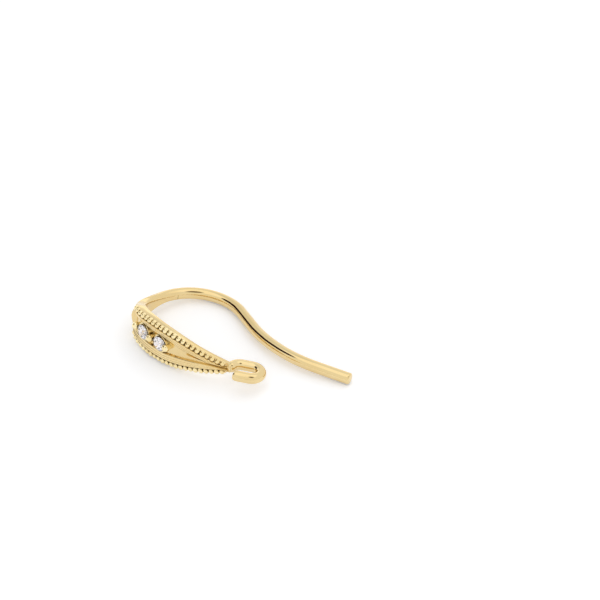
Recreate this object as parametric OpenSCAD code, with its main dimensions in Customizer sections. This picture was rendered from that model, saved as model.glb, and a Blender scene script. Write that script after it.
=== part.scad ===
// Ear wire, lying on its side: a bent hook wire with a leaf-shaped front plate, two round stones
// and an open loop. The hook is drawn flat in its own plane, then laid on its three resting points.

/* [Hook wire] */
// Diameter of the hook wire
wire_d = 0.9; // [0.8:0.05:1]
// Straight end of the tail, which a soft ear nut slides on
tip_len = 2.85; // [2:0.05:4]
// Radius of the bend that flares the tail away from the plate
flare_r = 10.1; // [8:0.1:14]
// Angle of that bend
flare_turn = 38.5; // [32:0.5:44]
// Straight stretch between the flare and the crown
lead_len = 1.9; // [1.5:0.05:3.5]
// Radius of the crown, where the ear sits
crown_r = 3.9; // [3.5:0.05:4.3]
// Angle of the crown
crown_turn = 95.5; // [90:0.5:100]

/* [Front plate] */
// Radius of the gentle lower stretch of the plate
leaf_r = 10; // [8.6:0.1:12]
// Angle of that stretch
leaf_turn = 44.5; // [42:0.5:50]
// Radius of the shoulder, where the plate turns over the front of the ear
shoulder_r = 2.85; // [2.3:0.05:3.2]
// Angle of the shoulder
shoulder_turn = 68; // [62:0.5:72]
// Radius of the brow, between the shoulder and the crown
brow_r = 5.1; // [4.4:0.1:6.5]
// Angle of the brow
brow_turn = 24.5; // [22:0.5:32]
// Greatest width of the plate
leaf_w = 3.2; // [3.1:0.05:3.6]
// Width of the plate at its foot, where the loop begins
foot_w = 0.9; // [0.8:0.05:1.1]
// Depth of the plate behind the line of the wire
leaf_back = 0.2; // [0.17:0.01:0.3]
// That depth over the shoulder
shoulder_back = 0.34; // [0.2:0.01:0.45]
// Depth of the smooth side wall in front of the line of the wire, along the lower stretch
leaf_front = 0.22; // [0.2:0.01:0.3]
// Depth of the side wall in front of the line of the wire, over the shoulder
shoulder_front = 0.45; // [0.3:0.01:0.5]
// How far the middle of the back is hollowed
back_hollow = 0.05; // [0:0.01:0.08]

/* [Rails and channel] */
// Width of one milgrain bead, across the rail
bead_w = 0.46; // [0.38:0.02:0.5]
// Height of one milgrain bead over the side wall
bead_h = 0.3; // [0.26:0.02:0.4]
// Spacing of the milgrain beads along the rail
bead_pitch = 0.4; // [0.36:0.01:0.5]
// Height of the valley between two beads over the side wall
bead_valley = 0.06; // [0.03:0.01:0.1]
// Depth of the notch that each valley leaves in the edge of the side wall
wall_notch = 0.08; // [0:0.01:0.12]
// Height of the smooth band inside the beads over the side wall, where it meets the beads
lip_h = 0.25; // [0.16:0.01:0.28]
// Height of that band over the side wall, where it slopes down to the channel
lip_low = 0.12; // [0.06:0.01:0.18]
// Half the width of the sunk channel at the stones
channel_half = 0.6; // [0.54:0.02:0.68]
// Depth of the channel's floor under the edge of the side wall
floor_drop = 0.08; // [0.02:0.01:0.12]

/* [Stones] */
// Diameter of a stone
stone_d = 1.2; // [1.1:0.05:1.3]
// Distance between the two stones along the plate
stone_pitch = 1.8; // [1.7:0.05:2]
// Distance of the lower stone from the foot of the plate
stone_up = 5.7; // [5.3:0.1:6]
// Height of the stones' girdle over the side wall
girdle_h = 0.24; // [0.2:0.01:0.28]
// Gap between a stone and its seat
stone_gap = 0.03; // [0.02:0.01:0.05]
// Width of the collar round a stone
collar_w = 0.07; // [0.05:0.01:0.12]
// Diameter of the open hole behind a stone
azure_d = 0.9; // [0.7:0.05:1]
// Diameter of the prong beads before, between and after the stones
prong_d = 0.54; // [0.46:0.02:0.6]
// Height of a prong bead's middle over the side wall
prong_h = 0.26; // [0.2:0.01:0.32]

/* [Loop] */
// Diameter of the loop's wire
loop_wire_d = 0.82; // [0.7:0.02:0.86]
// Clear width of the loop's eye, across the line of the plate
loop_eye_w = 0.68; // [0.64:0.02:0.9]
// Clear length of the loop's eye, along that line
loop_eye_l = 1.46; // [1.2:0.02:1.7]
// Angle between the plate's foot and the loop's free end, seen from the middle of the eye's near end
loop_gap_turn = 66; // [56:1:80]

/* [Hidden] */
$fn = 48;
gold = [0.92, 0.74, 0.42];
clear = [0.93, 0.95, 0.97, 0.6];
wire_r = wire_d / 2;

// The line of the wire, from the plate's foot over the crown to the end of the tail.
// A row is one stretch: its length, and the angle that it turns to the left.
RUN = 0;
TURN = 1;
function bend(r, turn) = [r * abs(turn) * PI / 180, -turn];
stretches = [
    bend(leaf_r, leaf_turn),
    bend(shoulder_r, shoulder_turn),
    bend(brow_r, brow_turn),
    bend(crown_r, crown_turn),
    [lead_len, 0],
    bend(flare_r, -flare_turn),
    [tip_len, 0]
];
TIP = len(stretches) - 1;
FLARE = TIP - 1;
LEAD = FLARE - 1;
CROWN = LEAD - 1;
// The heading at the foot is chosen so that the hook lies lengthwise along X.
foot_heading = 24;
function sum_of(i, what) = i == 0 ? 0 : sum_of(i - 1, what) + stretches[i - 1][what];
function chord(run, turn) = turn == 0 ? run : run * 360 / (PI * abs(turn)) * sin(abs(turn) / 2);
function stride(head, run, turn) = chord(run, turn) * [cos(head + turn / 2), sin(head + turn / 2)];
function joint_of(i) =
    i == 0 ? [0, 0] : joint_of(i - 1) + stride(heads[i - 1], stretches[i - 1][RUN], stretches[i - 1][TURN]);
starts = [for (i = [0:len(stretches)]) sum_of(i, RUN)];
heads = [for (i = [0:len(stretches)]) foot_heading + sum_of(i, TURN)];
joints = [for (i = [0:len(stretches)]) joint_of(i)];
path_len = starts[len(stretches)];
function stretch_at(s, i = 0) = i == TIP || s < starts[i + 1] ? i : stretch_at(s, i + 1);
function turned(s, i) = stretches[i][TURN] * (s - starts[i]) / stretches[i][RUN];
function head_at(s) = let (i = stretch_at(s)) heads[i] + turned(s, i);
function point_at(s) = let (i = stretch_at(s)) joints[i] + stride(heads[i], s - starts[i], turned(s, i));
// The front of the hook is on the left hand of the line, seen from the foot.
function front_at(s) = let (a = head_at(s)) [-sin(a), cos(a)];
// A place at distance s along the line, f in front of it and n over the hook's plane
function place(s, f, n) = let (p = point_at(s) + f * front_at(s)) [p[0], p[1], n];

// The plate ends in a seam a little way up the crown.
leaf_len = starts[CROWN] + 0.5;
// Width of the plate at equal steps from foot to seam, as a share of the way to its full width
widths = [0, 0.22, 0.44, 0.645, 0.83, 0.95, 0.997, 1, 0.92, 0.78, 0.44, 0.31, 0.25, 0.12, 0];
steps = len(widths) - 1;
function knot(i) = widths[max(0, min(steps, i))];
function curve(a, b, c, d, t) =
    b + t / 2 * (c - a + t * (2 * a - 5 * b + 4 * c - d + t * (3 * b - 3 * c + d - a)));
function share_at(x) = let (i = floor(x)) curve(knot(i - 1), knot(i), knot(i + 1), knot(i + 2), x - i);
function leaf_half(s) =
    let (x = max(0, min(steps, steps * s / leaf_len)), end_w = x < steps / 2 ? foot_w : wire_d)
    (end_w + (leaf_w - end_w) * share_at(x)) / 2;

// The plate's section turns into a round neck under the foot, and into the round wire above
// the shoulder. The seam stands a hair proud of the wire, as a soldered joint does.
bead_first = 0.3;
neck_len = 0.09;
neck_blend = bead_first + neck_len;
seam_blend = 5;
seam_r = wire_r * 1.03;
neck_r = loop_wire_d / 2;
function smooth(u) = let (v = max(0, min(1, u))) v * v * (3 - 2 * v);
function roundness(s) =
    smooth(max((s - leaf_len) / seam_blend + 1, (bead_first - s) / neck_blend));
// The plate deepens between these two shares of its length.
rise_from = 0.17;
rise_to = 0.87;
function rise_at(s) = smooth((s / leaf_len - rise_from) / (rise_to - rise_from));
function front_depth(s) = leaf_front + (shoulder_front - leaf_front) * rise_at(s);
function back_depth(s) = leaf_back + (shoulder_back - leaf_back) * rise_at(s);

// The channel widens from the foot to the stones and has a round upper end.
stone_places = [stone_up + stone_pitch, stone_up];
channel_start = 0.3;
channel_full = stone_up - 0.4;
channel_end = stone_up + 2.1 * stone_pitch;
function channel_at(s) =
    let (
        lower = min(1, (s + 0.5) / (channel_full + 0.5)) * smooth((s - channel_start) / 0.8),
        upper = 1 - pow(max(0, (s - channel_end) / channel_half + 1), 2)
    )
    max(0.04, channel_half * max(0, min(lower, sqrt(max(0, upper)))));

// Beyond the channel the front is a low dome, this much higher than the band's lower side.
dome_h = 0.24;

// Milgrain: a row of half-round beads along each rail
bead_last = channel_end;
bead_count = floor((bead_last - bead_first) / bead_pitch);
bead_phases = [0, 0.12, 0.34, 0.66, 0.88];
function bead_share(phase) = sqrt(max(0, 1 - pow(2 * phase - 1, 2)));
// The beads are lower towards the foot, where the plate is narrow.
function bead_top(s) = bead_h * (0.6 + 0.4 * min(1, 2 * leaf_half(s) / leaf_w));

// Half a section of the plate, from the middle of its back round to the middle of its front,
// as [front, over]. The swell is the milgrain's share of its full height at this place.
edge_round = 0.08;
function half_section(s, swell) =
    let (
        half = leaf_half(s),
        channel = channel_at(s),
        front = front_depth(s),
        back = back_depth(s),
        bead = min(bead_w, 0.75 * (half - channel)),
        rise = bead_valley + (bead_top(s) - bead_valley) * swell,
        inner = half - bead,
        slope = min(0.06, 0.5 * (inner - channel)),
        lip = min(lip_h, bead_top(s) * 0.8),
        closed = smooth((s - channel_end) / 0.3 + 1),
        floor_at = front - floor_drop + (lip_low + floor_drop + dome_h) * closed
    )
    [
        [-back + back_hollow, 0],
        [-back, half - 3 * edge_round],
        [-back + edge_round, half],
        [front - wall_notch * (1 - swell), half],
        [front + 0.6 * rise, half - 0.12 * bead],
        [front + 0.96 * rise, half - 0.35 * bead],
        [front + 0.96 * rise, half - 0.65 * bead],
        [front + 0.6 * rise, half - 0.88 * bead],
        [front + lip, inner],
        [front + lip_low + (lip + dome_h / 2 - lip_low) * closed, channel + slope],
        [floor_at, channel],
        [floor_at, 0]
    ];
half_sides = 11;
function half_round(r) = [for (i = [0:half_sides]) let (a = 180 * i / half_sides) r * [-cos(a), sin(a)]];
function blend(a, b, t) = [for (i = [0:half_sides]) a[i] * (1 - t) + b[i] * t];
function ring_of(half) = concat(half, [for (i = [half_sides - 1:-1:1]) [half[i][0], -half[i][1]]]);
function leaf_ring(s, swell) =
    ring_of(blend(half_section(s, swell), half_round(s < stone_up ? neck_r : seam_r), roundness(s)));
function set_ring(s, ring) = [for (p = ring) place(s, p[0], p[1])];

bead_stop = bead_first + bead_count * bead_pitch;
bead_rings = [for (b = [0:bead_count - 1], p = bead_phases) [bead_first + (b + p) * bead_pitch, bead_share(p)]];
// Beyond its ends the row is a plain ridge.
plain = 0.5;
taper_rings = [for (i = [1:12]) [bead_stop + (leaf_len - bead_stop) * i / 12, plain]];
// Below the foot a short round neck carries the loop.
neck_rings = [for (k = [0:3]) [-neck_len + neck_blend * k / 4, plain]];
leaf_rings = [for (p = concat(neck_rings, bead_rings, taper_rings)) set_ring(p[0], leaf_ring(p[0], p[1]))];

module swept(rings) {
    sides = len(rings[0]);
    last = len(rings) - 1;
    points = [for (r = rings) each r];
    skin = [
        for (k = [0:last - 1]) for (i = [0:sides - 1])
            let (a = k * sides + i, b = k * sides + (i + 1) % sides)
            each [[a, b, a + sides], [b, b + sides, a + sides]]
    ];
    foot_cap = [for (i = [sides - 1:-1:0]) i];
    seam_cap = [for (i = [0:sides - 1]) last * sides + i];
    polyhedron(points = points, faces = concat(skin, [foot_cap, seam_cap]), convexity = 8);
}

module from_joint(i) {
    translate(concat(joints[i], 0)) rotate([0, 0, heads[i]]) children();
}

// A bend to the left. It is a hair thinner than the straights, as bent wire is, and reaches
// a little way into what it joins at both ends.
bend_lap = 0.06;
function angle_of(run, r) = run / r * 180 / PI;
module bent_wire(r, turn) {
    lap = angle_of(bend_lap, r);
    translate([0, r, 0]) rotate([0, 0, -90 - lap])
        rotate_extrude(angle = turn + 2 * lap) translate([r, 0]) circle(r = wire_r * 0.995);
}

module wire() {
    in_plate = angle_of(leaf_len - starts[CROWN] - bend_lap, crown_r);
    from_joint(LEAD) rotate([0, 0, 180]) bent_wire(crown_r, crown_turn - in_plate);
    from_joint(LEAD) rotate([0, 90, 0]) cylinder(r = wire_r, h = lead_len);
    from_joint(FLARE) bent_wire(flare_r, flare_turn);
    end_len = 0.1;
    from_joint(TIP) rotate([0, 90, 0]) {
        cylinder(r = wire_r, h = tip_len - end_len);
        translate([0, 0, tip_len - end_len]) cylinder(r1 = wire_r, r2 = wire_r * 0.8, h = end_len);
    }
}

// The loop lies in the hook's plane: two round ends and two straight sides. Its middle is a little
// in front of the plate's line. Its wire leaves the neck over a round corner, runs round the back and
// stops short of the foot.
loop_r = (loop_eye_w + loop_wire_d) / 2;
loop_half = (loop_eye_l - loop_eye_w) / 2;
loop_front = 0.24;
neck_turn = asin(loop_front / loop_r);
loop_c = place(-neck_len - loop_r * cos(neck_turn) - loop_half, loop_front, 0);
module loop_bend(from, to) {
    lap = angle_of(bend_lap, loop_r);
    rotate([0, 0, from - lap]) rotate_extrude(angle = to - from + 2 * lap) translate([loop_r, 0])
        circle(r = loop_wire_d / 2 * 0.995);
}

module loop() {
    translate(loop_c) rotate([0, 0, foot_heading]) {
        translate([loop_half, 0, 0]) {
            loop_bend(loop_gap_turn, 90);
            loop_bend(270, 360 - neck_turn);
            rotate([0, 0, -neck_turn]) translate([loop_r, 0, 0]) sphere(r = neck_r * 1.03);
        }
        translate([-loop_half, 0, 0]) loop_bend(90, 270);
        for (side = [-1, 1]) translate([-loop_half, side * loop_r, 0]) rotate([0, 90, 0])
            cylinder(d = loop_wire_d, h = 2 * loop_half);
    }
}

// Stands a child on the edge of the side wall at distance s, with +Z pointing out of the front
module on_plate(s) {
    translate(place(s, front_depth(s), 0)) rotate([0, 0, head_at(s)]) rotate([-90, 0, 0]) children();
}

stone_r = stone_d / 2;
crown_h = stone_d * 0.15;
pavilion_h = stone_d * 0.42;
table_share = 0.56;
seat_r = stone_r + stone_gap;
prong_places = [for (k = [-0.75, 1, 2.9]) stone_up + stone_pitch * k / 2];

// Collars and prongs stand this deep in the plate, the open holes reach well past its back, and the
// collars end a little under the girdles.
root = 0.2;
azure_depth = 1.2;
girdle_clear = 0.1;
module collar() {
    translate([0, 0, -root]) cylinder(r = seat_r + collar_w, h = root + girdle_h - girdle_clear);
}

module prong() {
    translate([0, 0, -root]) cylinder(d = prong_d * 0.8, h = root + prong_h);
    translate([0, 0, prong_h]) sphere(d = prong_d);
}

// Room for one stone: a cone under its girdle, a cone over it and the open hole behind
module seat() {
    translate([0, 0, girdle_h - pavilion_h]) cylinder(r1 = stone_gap * 1.4, r2 = seat_r, h = pavilion_h);
    translate([0, 0, girdle_h - 0.001]) cylinder(r = seat_r, h = stone_gap + 0.002);
    translate([0, 0, girdle_h + stone_gap])
        cylinder(r1 = seat_r, r2 = stone_r * table_share + stone_gap, h = crown_h + stone_gap);
    translate([0, 0, -azure_depth]) cylinder(d = azure_d, h = azure_depth + girdle_h - pavilion_h / 2);
}

// Deep corners between a prong, the collars and the rails
pit_d = 0.3;
pit_depth = 0.12;
module pits() {
    for (side = [-1, 1]) translate([0, side * (channel_half - pit_d * 0.7), -floor_drop - pit_depth])
        cylinder(d = pit_d, h = 1);
}

// Round brilliant: a table and eight sides of crown facets over eight pavilion mains
module brilliant() {
    function ring(count, r, z, turn) =
        [for (i = [0:count - 1]) let (a = 360 * i / count + turn) [r * cos(a), r * sin(a), z]];
    girdle = 0.02;
    points = concat(
        ring(8, stone_r * table_share, crown_h, 0),
        ring(8, stone_r * 0.8, crown_h * 0.6, 22.5),
        ring(16, stone_r, girdle / 2, 0),
        ring(16, stone_r, -girdle / 2, 0),
        ring(8, stone_r * 0.27, -pavilion_h * 0.74, 0),
        [[0, 0, -pavilion_h]]
    );
    hull() polyhedron(points = points, faces = [[for (i = [0:len(points) - 1]) i]]);
}

// The hook lies on the end of its tail, on the belly of its crown and on the lower edge of the
// plate. Each place is the lowest one of its stretch, and two rounds settle the tilt.
crown_span = [for (k = [0:40]) starts[CROWN] + stretches[CROWN][RUN] * k / 40];
leaf_span = [for (k = [0:60]) leaf_len * k / 60];
function lower_edge(s) = place(s, -back_depth(s) + edge_round, -leaf_half(s));
function lowest(points, up) = let (h = [for (p = points) up * p]) points[search(min(h), h)[0]];
function rest_points(up) = [
    place(path_len, 0, 0) - wire_r * up,
    lowest([for (s = crown_span) place(s, 0, 0)], up) - wire_r * up,
    lowest([for (s = leaf_span) lower_edge(s)], up)
];
function square_to(p) = let (c = cross(p[1] - p[0], p[2] - p[0])) c / norm(c) * sign(c[2]);
rest_up = square_to(rest_points(square_to(rest_points([0, 0.15, 0.98]))));
rest_turn = acos(rest_up[2]);
rest_axis = let (c = cross(rest_up, [0, 0, 1])) c / norm(c);
function laid(v) =
    v * cos(rest_turn) + cross(rest_axis, v) * sin(rest_turn) + rest_axis * (rest_axis * v) * (1 - cos(rest_turn));

// The origin lies on the floor under the middle of the hook's outline.
outer = concat(
    [for (s = [for (k = [0:90]) path_len * k / 90], f = [-wire_r, wire_r]) laid(place(s, f, 0))],
    [for (s = leaf_span, n = [-1, 1]) laid(place(s, front_depth(s), n * leaf_half(s)))],
    [for (a = [0:15:345]) laid(loop_c + loop_outer(a))]
);
function loop_outer(a) =
    let (r = loop_r + loop_wire_d / 2, side = cos(a - foot_heading) < 0 ? -1 : 1)
    r * [cos(a), sin(a), 0] + side * loop_half * [cos(foot_heading), sin(foot_heading), 0];
function middle(axis) = (min([for (p = outer) p[axis]]) + max([for (p = outer) p[axis]])) / 2;
origin = [middle(0), middle(1), laid(rest_points(rest_up)[0])[2]];

module lie_down() {
    translate(-origin) rotate(a = rest_turn, v = rest_axis) children();
}

module ear_hook() {
    color(gold) lie_down() difference() {
        union() {
            swept(leaf_rings);
            wire();
            loop();
            for (s = stone_places) on_plate(s) collar();
            for (s = prong_places) on_plate(s) prong();
        }
        for (s = stone_places) on_plate(s) seat();
        for (s = prong_places) on_plate(s) pits();
    }
}

module stone(s) {
    color(clear) lie_down() on_plate(s) translate([0, 0, girdle_h]) brilliant();
}

module stone_upper() {
    stone(stone_places[0]);
}

module stone_lower() {
    stone(stone_places[1]);
}

ear_hook();
stone_upper();
stone_lower();
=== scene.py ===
import math
import random
import bpy
import bmesh
import numpy as np
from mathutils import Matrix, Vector


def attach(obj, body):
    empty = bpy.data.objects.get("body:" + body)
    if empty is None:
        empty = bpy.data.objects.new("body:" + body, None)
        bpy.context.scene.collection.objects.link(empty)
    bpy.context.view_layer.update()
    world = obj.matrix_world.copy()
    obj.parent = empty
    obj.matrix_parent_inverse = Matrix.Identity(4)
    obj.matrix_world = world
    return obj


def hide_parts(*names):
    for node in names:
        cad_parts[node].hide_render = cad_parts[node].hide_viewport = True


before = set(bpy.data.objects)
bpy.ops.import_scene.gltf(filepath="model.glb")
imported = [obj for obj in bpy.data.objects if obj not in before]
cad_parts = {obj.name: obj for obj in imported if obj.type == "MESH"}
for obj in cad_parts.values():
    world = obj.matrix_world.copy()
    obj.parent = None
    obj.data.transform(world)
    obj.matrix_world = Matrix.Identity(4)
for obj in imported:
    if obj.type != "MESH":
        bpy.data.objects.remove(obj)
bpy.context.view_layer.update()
mm = 0.001

# the sizes of the pieces, in millimetres and degrees; several pieces read each of these
hook = dict(
    wire=0.9, tipLen=2.85, tipRound=0.15,
    leafR=10, leafTurn=44.5, shoulderR=2.85, shoulderTurn=68, browR=5.1, browTurn=24.5,
    crownR=3.9, crownTurn=95.5, leadLen=1.9, flareR=10.1, flareTurn=38.5, footHeading=24,
    ringStep=0.12, sides=48,
)
plate = dict(
    width=3.2, footWidth=0.9, back=0.2, shoulderBack=0.34, front=0.22, shoulderFront=0.45, hollow=0.05,
    riseFrom=0.17, riseTo=0.87, seamPast=0.5, seamBlend=5, seamProud=1.01, neckBlend=0.39, neckLen=0.09,
    shares=[0, 0.22, 0.44, 0.645, 0.83, 0.95, 0.997, 1, 0.92, 0.78, 0.44, 0.31, 0.25, 0.12, 0],
    edgeRound=0.08, cornerRound=0.05, ringStep=0.07, dome=0.24, wallDome=0.03, across={0: 10, -3: 3, -2: 4},
)
rail = dict(
    beadWidth=0.46, beadHigh=0.3, pitch=0.4, first=0.3, valley=0.02, notch=0.08,
    bandHigh=0.25, bandLow=0.12, bandLines=[0.3, 0.62], lineWide=0.035, lineDeep=0.022,
    channelHalf=0.6, floorDrop=0.08, channelFrom=0.9, channelEase=1.2, channelLeast=0.04, channelPast=0.4,
    channelWall=0.06, grooveFrom=1.4, grooveTo=3.6, grooveDeep=0.2, grooveFade=0.3,
    beadsPast=2.1, beadSink=0.05, beadLow=0.6, beadSeed=7, beadVary=0.07, beadLean=0.22,
)
gems = dict(
    size=1.2, up=5.7, pitch=1.8, girdleHigh=0.24, gap=0.03, table=0.56, crown=0.15, pavilion=0.42,
    hole=0.9, collar=0.07, prongSize=0.6, prongHigh=0.26, prongAt=[-0.75, 1, 2.9],
)
eye = dict(wire=0.82, clearWide=0.68, clearLong=1.46, front=0.24, gapTurn=66, softEnd=0.12)


# the line of the wire, as in the solids: foot, shoulder, brow, crown, flare, tail
def bend(radius, turn):
    return radius * abs(turn) * math.pi / 180, -turn


stretches = [
    bend(hook["leafR"], hook["leafTurn"]),
    bend(hook["shoulderR"], hook["shoulderTurn"]),
    bend(hook["browR"], hook["browTurn"]),
    bend(hook["crownR"], hook["crownTurn"]),
    (hook["leadLen"], 0),
    bend(hook["flareR"], -hook["flareTurn"]),
    (hook["tipLen"], 0),
]


def stride(heading, run, turn):
    chord = run
    if turn:
        chord = run * 360 / (math.pi * abs(turn)) * math.sin(math.radians(abs(turn) / 2))
    angle = math.radians(heading + turn / 2)
    return chord * np.array([math.cos(angle), math.sin(angle)])


starts, headings, joints = [0.0], [float(hook["footHeading"])], [np.zeros(2)]
for run, turn in stretches:
    joints.append(joints[-1] + stride(headings[-1], run, turn))
    starts.append(starts[-1] + run)
    headings.append(headings[-1] + turn)
pathLen = starts[-1]
leafLen = starts[3] + plate["seamPast"]
wireR = hook["wire"] / 2


def stretchAt(s):
    return next((i for i in range(len(stretches) - 1) if s < starts[i + 1]), len(stretches) - 1)


def turned(s, i):
    return stretches[i][1] * (s - starts[i]) / stretches[i][0]


def headAt(s):
    i = stretchAt(s)
    return math.radians(headings[i] + turned(s, i))


# s along the line, f in front of it and n over the hook's own plane
def place(s, f, n):
    i = stretchAt(s)
    p = joints[i] + stride(headings[i], s - starts[i], turned(s, i))
    a = headAt(s)
    return np.array([p[0] - f * math.sin(a), p[1] + f * math.cos(a), n])


def smooth(u):
    u = min(1, max(0, u))
    return u * u * (3 - 2 * u)


def shareAt(x):
    knots = plate["shares"]
    i = math.floor(x)
    a, b, c, d = (knots[min(len(knots) - 1, max(0, i + k))] for k in (-1, 0, 1, 2))
    t = x - i
    return b + t / 2 * (c - a + t * (2 * a - 5 * b + 4 * c - d + t * (3 * b - 3 * c + d - a)))


def leafHalf(s):
    steps = len(plate["shares"]) - 1
    x = min(steps, max(0, steps * s / leafLen))
    end = plate["footWidth"] if x < steps / 2 else hook["wire"]
    return (end + (plate["width"] - end) * shareAt(x)) / 2


def riseAt(s):
    return smooth((s / leafLen - plate["riseFrom"]) / (plate["riseTo"] - plate["riseFrom"]))


def frontDepth(s):
    return plate["front"] + (plate["shoulderFront"] - plate["front"]) * riseAt(s)


def backDepth(s):
    return plate["back"] + (plate["shoulderBack"] - plate["back"]) * riseAt(s)


def lowerEdge(s):
    return place(s, plate["edgeRound"] - backDepth(s), -leafHalf(s))


# the hook lies on the end of its tail, the belly of its crown and the plate's lower edge
def restPoints(up):
    def lowest(points):
        return min(points, key=lambda p: float(np.dot(up, p)))

    crown = [place(starts[3] + stretches[3][0] * k / 40, 0, 0) for k in range(41)]
    leaf = [lowerEdge(leafLen * k / 60) for k in range(61)]
    return [place(pathLen, 0, 0) - wireR * up, lowest(crown) - wireR * up, lowest(leaf)]


up = np.array([0, 0.15, 0.98])
for _ in range(2):
    a, b, c = restPoints(up)
    up = np.cross(b - a, c - a)
    up *= np.sign(up[2]) / np.linalg.norm(up)
tilt = Vector(up).rotation_difference(Vector((0, 0, 1))).to_matrix()
tilt = np.array(tilt)


# the loop is an oval: an angle is seen from the middle of its near or far round end
eyeR = (eye["clearWide"] + eye["wire"]) / 2
eyeHalf = (eye["clearLong"] - eye["clearWide"]) / 2
neckTurn = math.degrees(math.asin(eye["front"] / eyeR))
eyeMiddle = place(-plate["neckLen"] - eyeR * math.cos(math.radians(neckTurn)) - eyeHalf, eye["front"], 0)
footTurn = math.radians(hook["footHeading"])
eyeAlong = np.array([math.cos(footTurn), math.sin(footTurn), 0])


def eyeSpot(angle, radius, far):
    a = math.radians(angle + hook["footHeading"])
    out = np.array([math.cos(a), math.sin(a), 0])
    return eyeMiddle + (-eyeHalf if far else eyeHalf) * eyeAlong + radius * out, out


eyeOuter = eyeR + eye["wire"] / 2
outline = [place(pathLen * k / 90, f, 0) for k in range(91) for f in (-wireR, wireR)]
outline += [place(leafLen * k / 60, frontDepth(leafLen * k / 60), n * leafHalf(leafLen * k / 60))
            for k in range(61) for n in (-1, 1)]
outline += [eyeSpot(a, eyeOuter, 90 < a < 270)[0] for a in range(0, 360, 6)]
laidOutline = np.array(outline) @ tilt.T
originAt = (laidOutline.min(0) + laidOutline.max(0)) / 2
originAt[2] = (tilt @ restPoints(up)[0])[2]


def lay(points):
    return (np.array(points) @ tilt.T - originAt) * mm


# makes one named piece from vertices in the hook's own millimetres
def makePiece(name, points, faces, material, slotName, node, sharp=False, creaseAt=35):
    mesh = bpy.data.meshes.new(name)
    mesh.from_pydata([tuple(p) for p in lay(points)], [], faces)
    mesh.materials.append(material)
    piece = bpy.data.objects.new(name, mesh)
    bpy.context.scene.collection.objects.link(piece)
    shadeMesh(mesh, sharp, creaseAt)
    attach(piece, "root")
    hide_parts(node)
    print("made", name, len(mesh.polygons), "faces")
    return piece


def shadeMesh(mesh, sharp, creaseAt):
    work = bmesh.new()
    work.from_mesh(mesh)
    bmesh.ops.recalc_face_normals(work, faces=work.faces)
    for face in work.faces:
        face.smooth = not sharp
    for edge in work.edges:
        edge.smooth = edge.calc_face_angle(0) < math.radians(creaseAt)
    work.to_mesh(mesh)
    work.free()


# skins a row of rings that all have the same number of points, and closes both ends
def skin(rings, closed=True):
    sides = len(rings[0])
    points = [p for ring in rings for p in ring]
    faces = []
    for k in range(len(rings) - 1):
        for i in range(sides):
            a, b = k * sides + i, k * sides + (i + 1) % sides
            faces.append((a, b, b + sides, a + sides))
    if closed:
        faces.append(tuple(reversed(range(sides))))
        faces.append(tuple((len(rings) - 1) * sides + i for i in range(sides)))
    return points, faces


# turns a profile of (radius, height) points about its height axis, from a share of one step on
def lathe(profile, sides, closed=False, begin=0):
    points, faces = [], []
    count = len(profile)
    for k in range(sides):
        a = 2 * math.pi * (k + begin) / sides
        points += [(r * math.cos(a), r * math.sin(a), z) for r, z in profile]
    for k in range(sides):
        base, follow = k * count, (k + 1) % sides * count
        for i in range(count if closed else count - 1):
            j = (i + 1) % count
            faces.append((base + i, follow + i, follow + j, base + j))
    if not closed:
        faces.append(tuple(k * count for k in range(sides)))
        faces.append(tuple(k * count + count - 1 for k in reversed(range(sides))))
    return points, faces


# stands local points on the plate at s, with their third number pointing out of the front
def standOn(s, points, high=0, side=0):
    base = place(s, frontDepth(s) + high, side)
    a = headAt(s)
    along = np.array([math.cos(a), math.sin(a), 0])
    out = np.array([-math.sin(a), math.cos(a), 0])
    return [base + p[0] * along + p[2] * out - p[1] * np.array([0, 0, 1]) for p in points]


def gather(parts):
    points, faces = [], []
    for some, skinned in parts:
        faces += [tuple(i + len(points) for i in face) for face in skinned]
        points += list(some)
    return points, faces


# ring sections of the plate, from the middle of its back round to the middle of its front
beadLast = gems["up"] + rail["beadsPast"] * gems["pitch"]
beadCount = math.floor((beadLast - rail["first"]) / rail["pitch"])
beadStop = rail["first"] + beadCount * rail["pitch"]


def beadTop(s):
    return rail["beadHigh"] * (rail["beadLow"] + (1 - rail["beadLow"]) * min(1, 2 * leafHalf(s) / plate["width"]))


def channelAt(s):
    full = gems["up"] - rail["channelPast"]
    opened = (s - rail["channelFrom"]) / (full - rail["channelFrom"])
    lower = min(1, max(0, opened)) ** rail["channelEase"]
    upper = math.sqrt(max(0, 1 - max(0, (s - beadLast) / rail["channelHalf"] + 1) ** 2))
    return max(rail["channelLeast"], rail["channelHalf"] * max(0, min(lower, upper)))


def beadAcross(s):
    return min(rail["beadWidth"], 0.75 * (leafHalf(s) - channelAt(s)))


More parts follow.
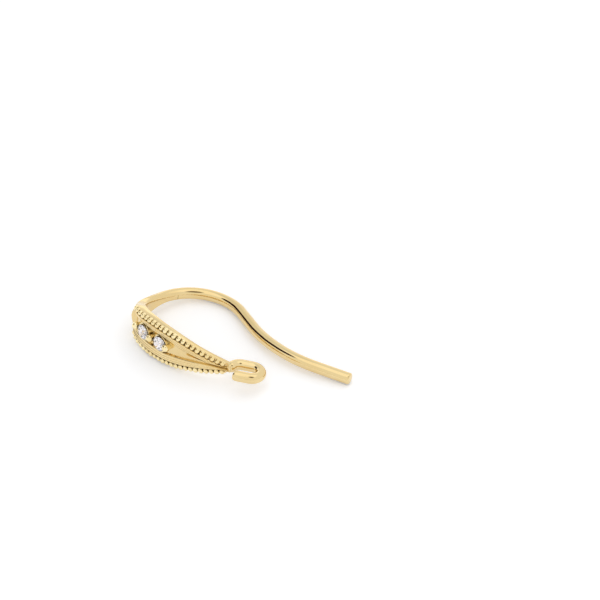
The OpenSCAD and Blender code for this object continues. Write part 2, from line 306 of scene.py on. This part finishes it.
def halfSection(s, upper):
    half, channel, front, bead = leafHalf(s), channelAt(s), frontDepth(s), beadAcross(s)
    ridge = 0.5 * smooth((s - beadStop + 0.1) / 0.4)
    rise = rail["valley"] + (beadTop(s) - rail["valley"]) * ridge
    inner = half - bead
    back, edge = backDepth(s), plate["edgeRound"]
    slope = min(rail["channelWall"], 0.5 * (inner - channel))
    lip = min(rail["bandHigh"], beadTop(s) * 0.8)
    closed = smooth((s - beadLast) / 0.3 + 1)
    floorAt = front - rail["floorDrop"] + (rail["bandLow"] + rail["floorDrop"] + plate["dome"]) * closed
    low = rail["bandLow"] + (lip + plate["dome"] / 2 - rail["bandLow"]) * closed
    # a deep cut along the channel's upper edge, only for a short way up from the foot
    fade = rail["grooveFade"]
    groove = upper * rail["grooveDeep"] * smooth((s - rail["grooveFrom"]) / fade)
    groove *= smooth((rail["grooveTo"] - s) / fade)
    corners = [
        (plate["hollow"] - back, 0), (-back, half - 3 * edge), (edge - back, half - plate["wallDome"]),
        (front - rail["notch"] * (1 - 2 * ridge), half - plate["wallDome"] * 0.7),
        (front + 0.6 * rise, half - 0.12 * bead), (front + 0.96 * rise, half - 0.35 * bead),
        (front + 0.96 * rise, half - 0.65 * bead), (front + 0.6 * rise, half - 0.88 * bead),
        (front + lip, inner), (front + low, channel + slope),
        (floorAt - groove, channel), (floorAt - groove, channel * 0.3), (floorAt, 0),
    ]
    last = len(corners) - 1
    section = [(i / last, np.array(corner, float)) for i, corner in enumerate(corners)]
    section.append((2.5 / last, np.array(((edge - back + front) / 2, half))))
    # fine cut lines run along the band
    high, side = section[8], section[9]
    wide = np.linalg.norm(side[1] - high[1])
    for middle in rail["bandLines"]:
        reach = min(rail["lineWide"] / wide, 0.12)
        for share, depth in ((middle - reach, 0), (middle, rail["lineDeep"] * (1 - closed)), (middle + reach, 0)):
            point = high[1] + (side[1] - high[1]) * share - np.array([depth, 0])
            section.append((high[0] + (side[0] - high[0]) * share, point))
    # points across the wide back and the floor keep the faces round the holes small
    # a span is named by the corner that it starts from, counted from the end where that is below 0
    for corner, count in plate["across"].items():
        first = corner % (last + 1)
        start, stop = section[first], section[first + 1]
        for k in range(1, count):
            mix = k / count
            section.append((start[0] + (stop[0] - start[0]) * mix, start[1] + (stop[1] - start[1]) * mix))
    return sorted(section, key=lambda corner: corner[0])


# rounds every corner of a section, whose shares say how far round from the back each one is
def rounded(section):
    spread = [section[0]]
    for before, (share, here), after in zip(section, section[1:], section[2:]):
        gaps = [np.linalg.norm(before[1] - here), np.linalg.norm(after[1] - here)]
        cut = min(plate["cornerRound"], 0.4 * gaps[0], 0.4 * gaps[1])
        first = here + (before[1] - here) * cut / max(gaps[0], 1e-9)
        second = here + (after[1] - here) * cut / max(gaps[1], 1e-9)
        spread.append((share + (before[0] - share) * 0.25, first))
        spread.append((share, here / 2 + (first + second) / 4))
        spread.append((share + (after[0] - share) * 0.25, second))
    return spread + [section[-1]]


# one closed ring; it blends into a round one at the seam and at the neck
def plateRing(s):
    neckR = eye["wire"] / 2
    r = neckR if s < gems["up"] else wireR * plate["seamProud"]
    t = smooth(max((s - leafLen) / plate["seamBlend"] + 1, (rail["first"] - s) / plate["neckBlend"]))

    def halfRing(upper):
        half = []
        for share, p in rounded(halfSection(s, upper)):
            a = math.pi * share
            half.append(p * (1 - t) + np.array([-r * math.cos(a), r * math.sin(a)]) * t)
        return half

    ring = halfRing(1) + [np.array([p[0], -p[1]]) for p in halfRing(0)[-2:0:-1]]
    return [place(s, p[0], p[1]) for p in ring]


def makePlate(material):
    count = math.ceil((leafLen + plate["neckLen"]) / plate["ringStep"])
    whole = leafLen + plate["neckLen"]
    rings = [plateRing(-plate["neckLen"] + whole * k / count) for k in range(count + 1)]
    piece = makePiece("front_plate", *skin(rings), material, "gold_plate", "ear_hook")
    for s in (gems["up"] + gems["pitch"], gems["up"]):
        cutter = bpy.data.meshes.new("holeCutter")
        # corners that met the plate's middle row of points would leave folded slivers
        points, faces = lathe([(gems["hole"] / 2, -1.2), (gems["hole"] / 2, 0.6)], 48, begin=0.5)
        cutter.from_pydata([tuple(p) for p in lay(standOn(s, points))], [], faces)
        tool = bpy.data.objects.new("holeCutter", cutter)
        bpy.context.scene.collection.objects.link(tool)
        bore = piece.modifiers.new("hole", "BOOLEAN")
        bore.operation, bore.solver, bore.object = "DIFFERENCE", "EXACT", tool
        depsgraph = bpy.context.evaluated_depsgraph_get()
        done = bpy.data.meshes.new_from_object(piece.evaluated_get(depsgraph))
        piece.modifiers.clear()
        piece.data = done
        bpy.data.objects.remove(tool)
    shadeMesh(piece.data, False, 35)
    piece.data.name = "front_plate"
    return piece


# the wire from the solder seam over the crown to the rounded tip
def makeWire(material):
    sides = hook["sides"]
    seam, end = leafLen - 0.06, pathLen - hook["tipRound"]
    count = math.ceil((end - seam) / hook["ringStep"])
    stations = [(seam + (end - seam) * k / count, wireR) for k in range(count + 1)]
    seamCut = {seam: 0.11, leafLen + 0.02: 0.11, leafLen + 0.04: 0.02}
    stations[1:1] = [(s, wireR) for s in (leafLen + 0.02, leafLen + 0.04, leafLen + 0.06)]
    for k in range(1, 7):
        a = math.radians(15 * k)
        stations.append((end + hook["tipRound"] * math.sin(a), wireR - hook["tipRound"] * (1 - math.cos(a))))
    rings = []
    for s, r in stations:
        angles = [2 * math.pi * i / sides for i in range(sides)]
        # the solder fills the seam on the upper side and leaves a fine line below
        radii = [r * (1 - seamCut.get(s, 0) * smooth(0.7 - math.sin(a))) for a in angles]
        rings.append([place(s, -reach * math.cos(a), reach * math.sin(a)) for a, reach in zip(angles, radii)])
    return makePiece("hook_wire", *skin(rings), material, "gold_plate", "ear_hook")


# the open oval loop at the foot: a softened free end, two round ends and a ball in the corner at the neck
def makeEye(material):
    r, sides, soft = eye["wire"] / 2, 40, eye["softEnd"]
    softTurn = math.degrees(soft / eyeR)
    begin, end = eye["gapTurn"], 360 - neckTurn
    stations = []
    for k in range(6, 0, -1):
        a = math.radians(15 * k)
        stations.append((begin + softTurn * (1 - math.sin(a)), r - soft * (1 - math.cos(a)), False))
    stations += [(a, r, False) for a in np.linspace(begin + softTurn, 90, 6)]
    stations += [(a, r, True) for a in np.linspace(90, 270, 37)]
    stations += [(a, r, False) for a in np.linspace(270, end, 17)]
    rings = []
    for angle, radius, far in stations:
        middle, out = eyeSpot(angle, eyeR, far)
        rings.append([middle + radius * (math.cos(2 * math.pi * i / sides) * out
                      + math.sin(2 * math.pi * i / sides) * np.array([0, 0, 1])) for i in range(sides)])
    corner = eyeSpot(end, eyeR, False)[0]
    points, faces = ball((r, r, r), 40, 24)
    parts = [skin(rings), ([corner + np.array(p) for p in points], faces)]
    return makePiece("end_loop", *gather(parts), material, "gold_plate", "ear_hook")


def ball(radii, across=16, down=10):
    profile = [(math.sin(math.pi * k / down), -math.cos(math.pi * k / down)) for k in range(down + 1)]
    points, faces = lathe([(max(r, 0.02), z) for r, z in profile], across)
    return [tuple(p[i] * radii[i] for i in range(3)) for p in points], faces


# one row of milgrain beads along each rail, each a little different and leaning, as a hand tool leaves them
def makeBeads(material):
    parts = []
    chance = random.Random(rail["beadSeed"])
    for k in range(beadCount):
        s = rail["first"] + (k + 0.5) * rail["pitch"]
        across = beadAcross(s)
        sink = rail["beadSink"]
        radii = (rail["pitch"] * 0.53, across * 0.5, beadTop(s) - sink)
        for side in (-1, 1):
            size = 1 + rail["beadVary"] * chance.uniform(-1, 1)
            lean = rail["beadLean"] * (1 + chance.uniform(-0.5, 0.5))
            points, faces = ball([r * size for r in radii])
            points = [(p[0] + side * lean * p[1], p[1], p[2]) for p in points]
            parts.append((standOn(s, points, sink, side * (leafHalf(s) - across * 0.5)), faces))
    return makePiece("milgrain_beads", *gather(parts), material, "gold_plate", "ear_hook")


# a collar with a cone for each stone, and the prong beads before, between and after the stones
def makeSettings(material):
    seatR = gems["size"] / 2 + gems["gap"]
    drop, depth = gems["girdleHigh"] - gems["size"] * gems["pavilion"], gems["size"] * gems["pavilion"]
    narrow = gems["gap"] * 1.4
    outerR, top = seatR + gems["collar"], gems["girdleHigh"] - 0.1

    def coneR(z):
        return narrow + (seatR - narrow) * (z - drop) / depth

    holeR = gems["hole"] / 2
    holeTop = drop + depth * (holeR - narrow) / (seatR - narrow)
    profile = [(holeR, -0.2), (outerR, -0.2), (outerR, top - 0.02), (outerR - 0.02, top),
               (coneR(top) + 0.01, top), (coneR(top - 0.01), top - 0.01), (holeR, holeTop)]
    parts = []
    for s in (gems["up"] + gems["pitch"], gems["up"]):
        points, faces = lathe(profile, 64, closed=True)
        parts.append((standOn(s, points), faces))
    half = gems["prongSize"] / 2
    for k in gems["prongAt"]:
        s = gems["up"] + gems["pitch"] * k / 2
        points, faces = ball((half, half, half), 24, 14)
        parts.append((standOn(s, points, gems["prongHigh"]), faces))
        points, faces = lathe([(half * 0.85, -0.2), (half * 0.8, gems["prongHigh"])], 24)
        parts.append((standOn(s, points), faces))
    return makePiece("stone_settings", *gather(parts), material, "gold_plate", "ear_hook")


# round brilliant: table, stars, kites, girdle facets, pavilion mains
def makeStone(name, node, s, material):
    r = gems["size"] / 2
    tableR, crownHigh = r * gems["table"], gems["size"] * gems["crown"]
    deep, rim = gems["size"] * gems["pavilion"], 0.01
    half = math.cos(math.radians(22.5))
    starR, lowR = r * 0.8, r * 0.27
    starZ = crownHigh - (starR * half - tableR) * (crownHigh - rim) / (r - tableR)
    lowZ = -deep + lowR * half / r * (deep - rim)

    def circle(count, radius, z, turn):
        return [(radius * math.cos(math.radians(360 * i / count + turn)),
                 radius * math.sin(math.radians(360 * i / count + turn)), z) for i in range(count)]

    points = circle(8, tableR, crownHigh, 0) + circle(8, starR, starZ, 22.5) + circle(16, r, rim, 0)
    points += circle(16, r, -rim, 0) + circle(8, lowR, lowZ, 22.5) + [(0, 0, -deep)]
    star, upper, lower, low, tip = 8, 16, 32, 48, 56
    faces = [tuple(range(8))]
    for i in range(8):
        j = (i + 1) % 8
        back = (i - 1) % 8
        faces.append((i, star + i, j))
        faces.append((i, star + back, upper + 2 * i, star + i))
        faces.append((star + i, upper + 2 * i, upper + 2 * i + 1))
        faces.append((star + i, upper + 2 * i + 1, upper + 2 * j))
        faces.append((low + i, lower + 2 * i + 1, lower + 2 * i))
        faces.append((low + i, lower + 2 * j, lower + 2 * i + 1))
        faces.append((tip, low + i, lower + 2 * i, low + back))
    for i in range(16):
        j = (i + 1) % 16
        faces.append((upper + i, lower + i, lower + j, upper + j))
    placed = standOn(s, points, gems["girdleHigh"])
    return makePiece(name, placed, faces, material, "clear_stone", node, sharp=True)


# shader graphs: a Flow is one socket, and arithmetic on it adds Math nodes
class Flow:
    def __init__(self, graph, socket):
        self.graph, self.socket = graph, socket

    def math(self, operation, *others):
        values = {i: v for i, v in enumerate((self,) + others)}
        return self.graph.node("ShaderNodeMath", dict(operation=operation), values)

    def reflected(self, operation, first):
        return self.graph.node("ShaderNodeMath", dict(operation=operation), {0: first, 1: self})

    def __add__(self, other): return self.math("ADD", other)
    def __radd__(self, other): return self.reflected("ADD", other)
    def __sub__(self, other): return self.math("SUBTRACT", other)
    def __rsub__(self, other): return self.reflected("SUBTRACT", other)
    def __mul__(self, other): return self.math("MULTIPLY", other)
    def __rmul__(self, other): return self.reflected("MULTIPLY", other)


class Graph:
    def __init__(self, owner):
        owner.use_nodes = True
        self.tree = owner.node_tree
        self.tree.nodes.clear()

    def node(self, kind, settings=None, values=None, out=0):
        made = self.tree.nodes.new(kind)
        for key, value in (settings or {}).items():
            if key == "stops":
                ramp = made.color_ramp
                while len(ramp.elements) < len(value):
                    ramp.elements.new(0.5)
                for stop, (at, colour) in zip(ramp.elements, value):
                    stop.position, stop.color = at, colour
            else:
                setattr(made, key, value)
        for key, value in (values or {}).items():
            socket = made.inputs[key]
            if isinstance(value, Flow):
                self.tree.links.new(value.socket, socket)
            else:
                socket.default_value = value
        return Flow(self, made.outputs[out]) if made.outputs else None

    def colourMix(self, share, first, second, blend="MIX"):
        settings = dict(data_type="RGBA", blend_type=blend)
        return self.node("ShaderNodeMix", settings, {0: share, 6: first, 7: second}, out=2)

    def noise(self, where, scale, detail=2, roughness=0.5):
        values = {"Vector": where, "Scale": scale, "Detail": detail, "Roughness": roughness}
        return self.node("ShaderNodeTexNoise", None, values)

    def steps(self, value, low, high, toLow=0, toHigh=1):
        values = {0: value, 1: low, 2: high, 3: toLow, 4: toHigh}
        return self.node("ShaderNodeMapRange", dict(interpolation_type="SMOOTHSTEP"), values)


def linear(red, green, blue):
    def channel(v):
        v /= 255
        return v / 12.92 if v <= 0.04045 else ((v + 0.055) / 1.055) ** 2.4

    return channel(red), channel(green), channel(blue), 1


# polished gold plating: paler and warmer in random patches, with painted shade in a deep gold where ambient
# occlusion finds crevices and gaps, and a cast skin under the polish
def goldFinishWithPaintedShade(name, look):
    material = bpy.data.materials.new(name)
    graph = Graph(material)
    where = graph.node("ShaderNodeTexCoord", out=3)
    patches = graph.noise(where, look["patchScale"], 2)
    pits = graph.noise(where, look["pitScale"], 3, 0.6)
    stretched = graph.node("ShaderNodeMapping", None, {"Vector": where, "Scale": (1, 1, 7)})
    hairs = graph.noise(stretched, look["hairScale"], 2)
    # painted shade: the ambient occlusion below mixes the deep gold into the base colour in crevices, gaps and
    # corners
    open_ = graph.node("ShaderNodeAmbientOcclusion", dict(samples=6), {"Distance": look["creviceReach"]}, out=1)
    shade = graph.steps(open_, look["creviceFrom"], look["creviceTo"])
    tone = graph.colourMix(graph.steps(patches, 0.35, 0.7), look["pale"], look["warm"])
    tone = graph.colourMix(shade, look["deep"], tone)
    rough = look["rough"] + look["roughSwing"] * patches + look["hairSwing"] * hairs
    rough = rough + look["creviceRough"] * (1 - shade)
    relief = pits * look["pitShare"] + hairs * look["hairShare"] + patches * look["waveShare"]
    bump = graph.node("ShaderNodeBump", None, {
        "Strength": look["bump"], "Distance": look["bumpHigh"], "Height": relief})
    surface = graph.node("ShaderNodeBsdfPrincipled", None, {
        "Base Color": tone, "Metallic": 1.0, "Roughness": rough, "Normal": bump, "Specular IOR Level": 0.5})
    graph.node("ShaderNodeOutputMaterial", None, {"Surface": surface})
    return material


# pale and warm are the gold's own tones; deep is the painted shade colour, mixed in where the surface is hemmed
# in
plateGold = dict(
    pale=linear(233, 210, 158), warm=linear(229, 203, 147), deep=linear(58, 32, 10),
    patchScale=420, pitScale=9000, hairScale=2600, creviceReach=0.00028, creviceFrom=0.08, creviceTo=0.55,
    rough=0.05, roughSwing=0.06, hairSwing=0.04, creviceRough=0.12,
    pitShare=0.25, hairShare=0.35, waveShare=1.0, bump=0.35, bumpHigh=0.00002,
)
wireGold = dict(
    plateGold, creviceReach=0.0002, creviceFrom=0.05,
    rough=0.02, roughSwing=0.03, hairSwing=0.02, waveShare=1.2, bump=0.25,
)
# the beads' gold is a paler copy of the plate's, a painted highlight on the bead tops, and its painted shade
# reaches further round them into the gaps between the beads
beadGoldPaintedHighlight = dict(
    plateGold, pale=linear(250, 233, 184), warm=linear(240, 216, 158), deep=linear(84, 54, 20),
    rough=0.05, creviceReach=0.00022, creviceFrom=0.2, creviceTo=0.75, pitShare=0.9, bump=0.5,
)
# the settings share the beads' painted highlight, with a near-black painted shade where the collars and prongs
# meet the stones and the plate
settingGoldPaintedHighlight = dict(beadGoldPaintedHighlight, deep=linear(26, 13, 4), creviceReach=0.0003, creviceFrom=0.15, creviceTo=0.7)
stoneLook = dict(clear=linear(255, 253, 254), blush=linear(250, 244, 247), ior=2.05, tintScale=1500, rough=0.0)


# clear stone: bends light strongly, with a breath of pink in places
def stoneFinish(name, look):
    material = bpy.data.materials.new(name)
    graph = Graph(material)
    where = graph.node("ShaderNodeTexCoord", out=3)
    cloud = graph.steps(graph.noise(where, look["tintScale"]), 0.4, 0.6)
    tint = graph.colourMix(cloud, look["clear"], look["blush"])
    surface = graph.node("ShaderNodeBsdfPrincipled", None, {
        "Base Color": tint, "Roughness": look["rough"], "IOR": look["ior"], "Transmission Weight": 1.0})
    graph.node("ShaderNodeOutputMaterial", None, {"Surface": surface})
    return material


# the room: a pale tent with bright cards, and dark gaps that the polished wire mirrors
# turn is seen from above, from +X towards +Y, and rise is over the floor, both in degrees
studio = dict(
    tent=(1, 1, 1, 1), floorSize=0.5, floorTone=linear(251, 251, 251), floorWarm=linear(250, 249, 249),
    floorRough=0.9, floorGlow=0.2, glowColour=(0.9, 0.97, 1.1, 1),
    cards=[
        dict(turn=0, rise=90, wide=26, soft=14, light=(1.24, 1.24, 1.22, 1)),
        dict(turn=-8, rise=12, wide=10, soft=12, light=(1.3, 1.3, 1.28, 1)),
        dict(turn=-28, rise=47, wide=14, soft=12, light=(0.86, 0.87, 0.88, 1)),
        dict(turn=-54, rise=5, wide=8, soft=8, light=(1.35, 1.35, 1.33, 1)),
        dict(turn=10, rise=24, wide=12, soft=3, light=(0.03, 0.01, 0.002, 1)),
        dict(turn=21, rise=35, wide=13, soft=3, light=(0.03, 0.01, 0.002, 1)),
        dict(turn=33, rise=45, wide=13, soft=3, light=(0.03, 0.01, 0.002, 1)),
        dict(turn=150, rise=64, wide=8, soft=10, light=(0.22, 0.17, 0.12, 1)),
    ],
)


def makeStudio():
    world = bpy.data.worlds.new("studio")
    bpy.context.scene.world = world
    graph = Graph(world)
    facing = graph.node("ShaderNodeTexCoord", out=0)
    room = studio["tent"]
    for card in studio["cards"]:
        turn, rise = math.radians(card["turn"]), math.radians(card["rise"])
        towards = (math.cos(turn) * math.cos(rise), math.sin(turn) * math.cos(rise), math.sin(rise))
        near = graph.node("ShaderNodeVectorMath", dict(operation="DOT_PRODUCT"), {0: facing, 1: towards}, out=1)
        edge = [math.cos(math.radians(card["wide"] + card["soft"])), math.cos(math.radians(card["wide"]))]
        room = graph.colourMix(graph.steps(near, *edge), room, card["light"])
    light = graph.node("ShaderNodeBackground", None, {"Color": room, "Strength": 1})
    graph.node("ShaderNodeOutputWorld", None, {"Surface": light})

    size = studio["floorSize"] / 2
    mesh = bpy.data.meshes.new("floor")
    mesh.from_pydata([(-size, -size, 0), (size, -size, 0), (size, size, 0), (-size, size, 0)], [], [(0, 1, 2, 3)])
    floor = bpy.data.objects.new("floor", mesh)
    bpy.context.scene.collection.objects.link(floor)
    material = bpy.data.materials.new("pale_board")
    graph = Graph(material)
    where = graph.node("ShaderNodeTexCoord", out=3)
    tone = graph.colourMix(graph.noise(where, 30, 3), studio["floorTone"], studio["floorWarm"])
    surface = graph.node("ShaderNodeBsdfPrincipled", None, {
        "Base Color": tone, "Roughness": studio["floorRough"], "Specular IOR Level": 0.2,
        "Emission Color": studio["glowColour"], "Emission Strength": studio["floorGlow"]})
    graph.node("ShaderNodeOutputMaterial", None, {"Surface": surface})
    mesh.materials.append(material)
    print("made the floor and the light")


# the camera stands where the photograph was taken from
view = dict(at=(-74.73, 99.23, 109.4), turn=-145.06, down=40, lens=132, sensor=36)


def makeCamera():
    data = bpy.data.cameras.new("camera")
    data.lens, data.sensor_width = view["lens"], view["sensor"]
    data.clip_start, data.clip_end = 0.005, 5
    camera = bpy.data.objects.new("camera", data)
    camera.location = Vector(view["at"]) * mm
    camera.rotation_euler = (math.radians(90 - view["down"]), 0, math.radians(view["turn"]))
    bpy.context.scene.collection.objects.link(camera)
    bpy.context.scene.camera = camera
    print("made the camera")


makeCamera()
makeStudio()
plateMaterial = goldFinishWithPaintedShade("gold_polish_plate", plateGold)
wireMaterial = goldFinishWithPaintedShade("gold_polish_wire", wireGold)
beadMaterial = goldFinishWithPaintedShade("gold_beads_painted_highlight", beadGoldPaintedHighlight)
settingMaterial = goldFinishWithPaintedShade("gold_settings_painted_highlight", settingGoldPaintedHighlight)
stoneMaterial = stoneFinish("clear_brilliant", stoneLook)
makePlate(plateMaterial)
makeWire(wireMaterial)
makeEye(wireMaterial)
makeBeads(beadMaterial)
makeSettings(settingMaterial)
makeStone("brilliant_upper", "stone_upper", gems["up"] + gems["pitch"], stoneMaterial)
makeStone("brilliant_lower", "stone_lower", gems["up"], stoneMaterial)
bpy.context.scene.view_settings.view_transform = "Standard"
